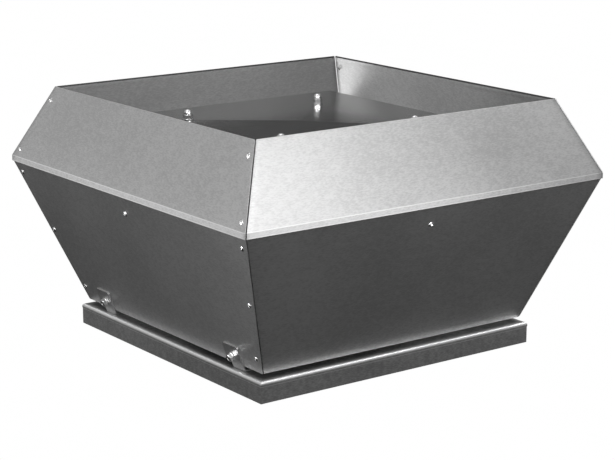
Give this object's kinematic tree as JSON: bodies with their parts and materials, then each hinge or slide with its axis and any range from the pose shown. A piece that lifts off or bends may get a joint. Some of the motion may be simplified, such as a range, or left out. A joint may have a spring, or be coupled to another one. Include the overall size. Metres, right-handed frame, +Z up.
{
  "type": "kitchen exhaust roof fan",
  "caption": "Square sheet-metal roof fan for kitchen exhaust: open-topped double-sloped housing, backward-curved impeller under a bolted motor lid, head hinged to its base.",
  "frame": {"origin": "middle of the square base's bottom edge plane", "axes": "+Z up along the impeller's axis, +X from the lock brackets towards the hinges, -Y the face beside the lock side on the right as one looks at the lock side"},
  "size_m": [0.7748, 0.7748, 0.4546],
  "materials": {
    "galvanised_base": "matt galvanised sheet, faintly mottled",
    "housing_sheet": "satin galvanised steel sheet with a fine grain",
    "lid_sheet": "satin sheet, a little glossier than the housing",
    "galvanised_inner": "plain galvanised sheet",
    "hinge_steel": "zinc plated steel",
    "zinc_fastener": "zinc plated",
    "bright_fastener": "bright stainless steel",
    "brass_nut": "yellow zinc plated",
    "foam_seal": "closed-cell foam",
    "black_plastic": "moulded plastic",
    "motor_paint": "grey-blue motor enamel on cast aluminium",
    "core_steel": "stacked electrical steel",
    "copper": "varnished copper wire",
    "bearing_steel": "ground steel",
    "impeller_steel": "galvanised steel"
  },
  "bodies": {
    "base": {"base_plate": "galvanised_base", "skirt_frame": "galvanised_base", "curb_gasket": "foam_seal", "inlet_cone": "galvanised_inner", "cone_screws": "zinc_fastener", "rivet_nuts": "brass_nut", "hinge_base_leaves": "hinge_steel", "hinge_base_screws": "zinc_fastener", "hinge_pins": "zinc_fastener"},
    "fan_head": {"lower_panel_front": "housing_sheet", "lower_panel_right": "housing_sheet", "lower_panel_back": "housing_sheet", "lower_panel_left": "housing_sheet", "upper_panel_front": "housing_sheet", "upper_panel_right": "housing_sheet", "upper_panel_back": "housing_sheet", "upper_panel_left": "housing_sheet", "lower_corner_rivets": "bright_fastener", "upper_corner_rivets": "bright_fastener", "support_stays": "galvanised_inner", "stay_screws": "bright_fastener", "stay_bolts": "zinc_fastener", "lock_brackets": "hinge_steel", "lock_bolts": "bright_fastener", "lock_nuts": "zinc_fastener", "lock_foot_screws": "bright_fastener", "hinge_head_leaves": "hinge_steel", "hinge_head_screws": "zinc_fastener", "cable_conduit": "galvanised_inner", "cable_gland": "black_plastic", "motor_plate": "galvanised_inner", "room_wall_front": "galvanised_inner", "room_wall_right": "galvanised_inner", "room_wall_back": "galvanised_inner", "room_wall_left": "galvanised_inner", "lid": "lid_sheet", "lid_seal": "foam_seal", "lid_studs": "zinc_fastener", "lid_stud_nuts": "zinc_fastener", "lid_washers": "bright_fastener", "cap_nuts": "bright_fastener", "motor_flange": "motor_paint", "motor_bolts": "zinc_fastener", "motor_housing": "motor_paint", "stator_core": "core_steel", "stator_windings": "copper", "end_shield": "motor_paint", "fan_cowl": "motor_paint", "terminal_box": "black_plastic", "terminal_box_lid": "black_plastic", "bearing_outer_rings": "bearing_steel", "shaft_seal": "black_plastic"},
    "rotor": {"motor_shaft": "bearing_steel", "rotor_core": "core_steel", "bearing_inner_rings": "bearing_steel", "cooling_fan": "black_plastic", "impeller_hub": "impeller_steel", "impeller_backplate": "impeller_steel", "impeller_blades": "impeller_steel", "impeller_shroud": "impeller_steel"}
  },
  "joints": [
    {"name": "head_tilt", "type": "hinge", "parent": "base", "child": "fan_head", "pos_m": [0.3035, 0, 0.046], "axis": [0, 1, 0], "range_deg": [0, 75]},
    {"name": "impeller_spin", "type": "hinge", "parent": "fan_head", "child": "rotor", "pos_m": [0, 0, 0.2], "axis": [0, 0, 1], "continuous": true}
  ]
}
